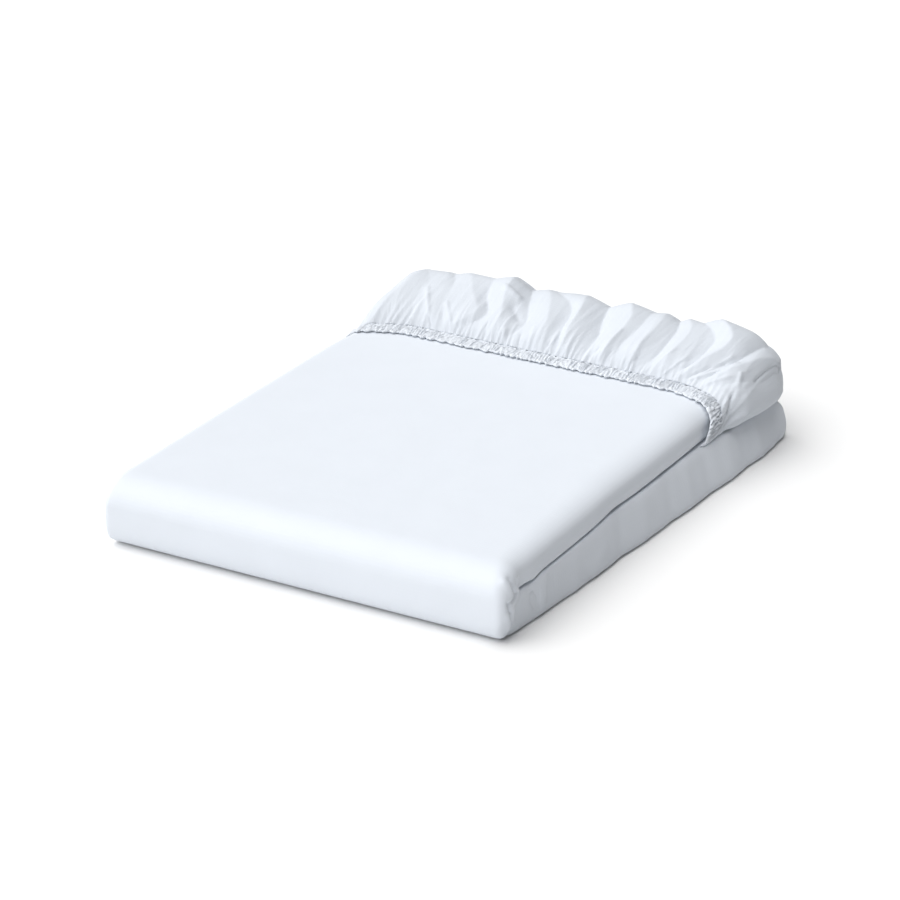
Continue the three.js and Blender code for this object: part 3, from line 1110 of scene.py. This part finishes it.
class PROTECTOR_OT_skirt(bpy.types.Operator):
    """Adds the gathered skirt, turned over the back end as a hood"""

    bl_idname = "protector.skirt"
    bl_label = "Gathered skirt"

    def execute(self, context):
        skirt = context.scene.protector_skirt
        points = hood_points(context.scene.protector_packet, skirt)
        uv = measured(points, HOOD_ROWS // 2, HOOD_COLUMNS // 2)
        hood = thicken(grid_object("gathered_skirt", points, uv), skirt.cloth)
        # Fine lines run back from the elastic: the eye takes it for thin cloth, gathered tightly
        hood.data.materials.append(cloth_material("light woven cotton", skirt.colour, SKIRT_CLOTH))
        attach(hood, "root")
        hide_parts("skirt")
        return {"FINISHED"}


# How far the floor reaches to each side, in metres
FLOOR_REACH = 8

# The camera that took the photograph, as fitted to the packet: its place seen from a point near the
# packet's middle, in degrees and metres, its lens on its sensor, and how far to the right of that
# point and above it the camera aims
CAMERA_TARGET = (150, 190, 20)
CAMERA_AZIMUTH = 30.25
CAMERA_ELEVATION = 23.97
CAMERA_DISTANCE = 2.837
CAMERA_LENS = 174.2
SENSOR_WIDTH = 36
AIM_RIGHT = -6.38
AIM_UP = 8.73


class PROTECTOR_OT_stage(bpy.types.Operator):
    """Adds the pale floor, the soft light and the camera"""

    bl_idname = "protector.stage"
    bl_label = "Floor, lights and camera"

    def execute(self, context):
        scene = context.scene
        studio = scene.protector_studio
        scene.view_settings.view_transform = "Standard"

        corners = [(x * FLOOR_REACH, y * FLOOR_REACH, 0) for x, y in ((-1, -1), (1, -1), (1, 1), (-1, 1))]
        mesh = bpy.data.meshes.new("studio_floor")
        mesh.from_pydata(corners, [], [(0, 1, 2, 3)])
        floor = bpy.data.objects.new("studio_floor", mesh)
        scene.collection.objects.link(floor)
        material = bpy.data.materials.new("matt white paper")
        material.use_nodes = True
        shader = material.node_tree.nodes["Principled BSDF"]
        shader.inputs["Base Color"].default_value = (*studio.floor_colour, 1)
        shader.inputs["Roughness"].default_value = 1.0
        shader.inputs["Specular IOR Level"].default_value = 0.0
        floor.data.materials.append(material)

        world = bpy.data.worlds.new("even sky")
        world.use_nodes = True
        background = world.node_tree.nodes["Background"]
        background.inputs["Color"].default_value = (1, 1, 1, 1)
        background.inputs["Strength"].default_value = studio.sky_strength
        scene.world = world

        # Both lights look very wide from the packet, so that its shadows are soft
        for name, energy, degrees_wide, direction in (
            ("key_light", studio.key_strength, 100, (0.46, 0.2, -0.88)),
            ("front_light", studio.front_strength, 90, (0.1, 0.98, -0.17)),
        ):
            light = bpy.data.objects.new(name, bpy.data.lights.new(name, "SUN"))
            light.data.energy = energy
            light.data.angle = math.radians(degrees_wide)
            light.rotation_mode = "QUATERNION"
            light.rotation_quaternion = Vector(direction).to_track_quat("-Z", "Y")
            scene.collection.objects.link(light)

        azimuth = math.radians(CAMERA_AZIMUTH)
        elevation = math.radians(CAMERA_ELEVATION)
        away = Vector((
            math.sin(azimuth) * math.cos(elevation),
            -math.cos(azimuth) * math.cos(elevation),
            math.sin(elevation),
        ))
        right = Vector((math.cos(azimuth), math.sin(azimuth), 0))
        up = away.cross(right)
        target = Vector(placed(CAMERA_TARGET))
        camera = bpy.data.objects.new("camera", bpy.data.cameras.new("camera"))
        camera.data.lens = CAMERA_LENS
        camera.data.sensor_width = SENSOR_WIDTH
        camera.data.clip_start = 0.1
        camera.data.clip_end = 50
        camera.location = target + away * CAMERA_DISTANCE
        aim = target + right * AIM_RIGHT * MM + up * AIM_UP * MM
        camera.rotation_mode = "QUATERNION"
        camera.rotation_quaternion = (aim - camera.location).to_track_quat("-Z", "Y")
        scene.collection.objects.link(camera)
        scene.camera = camera
        return {"FINISHED"}


class PROTECTOR_PT_sidebar(bpy.types.Panel):
    """Lists the pieces of the protector"""

    bl_label = "Folded mattress protector"
    bl_idname = "PROTECTOR_PT_sidebar"
    bl_space_type = "VIEW_3D"
    bl_region_type = "UI"
    bl_category = "Protector"

    def draw(self, context):
        for name, cls in GROUPS.items():
            box = self.layout.box()
            for setting in cls.__annotations__:
                box.prop(getattr(context.scene, name), setting)
        for operator in OPERATORS:
            self.layout.operator(operator.bl_idname)


GROUPS = {
    "protector_packet": PacketSizes,
    "protector_skirt": SkirtSizes,
    "protector_elastic": ElasticSizes,
    "protector_studio": StudioSettings,
}
OPERATORS = (PROTECTOR_OT_stage, PROTECTOR_OT_panel, PROTECTOR_OT_elastic, PROTECTOR_OT_skirt)


def register():
    """Registers the classes and adds the sizes and colours to the scene."""
    for cls in (*GROUPS.values(), *OPERATORS, PROTECTOR_PT_sidebar):
        bpy.utils.register_class(cls)
    for name, cls in GROUPS.items():
        setattr(bpy.types.Scene, name, PointerProperty(type=cls))


def unregister():
    """Takes away what register added."""
    for name in GROUPS:
        delattr(bpy.types.Scene, name)
    for cls in (PROTECTOR_PT_sidebar, *reversed(OPERATORS), *reversed(GROUPS.values())):
        bpy.utils.unregister_class(cls)


def main():
    """Builds the whole protector."""
    register()
    bpy.ops.protector.stage()
    bpy.ops.protector.panel()
    bpy.ops.protector.elastic()
    bpy.ops.protector.skirt()


if __name__ == "__main__":
    main()
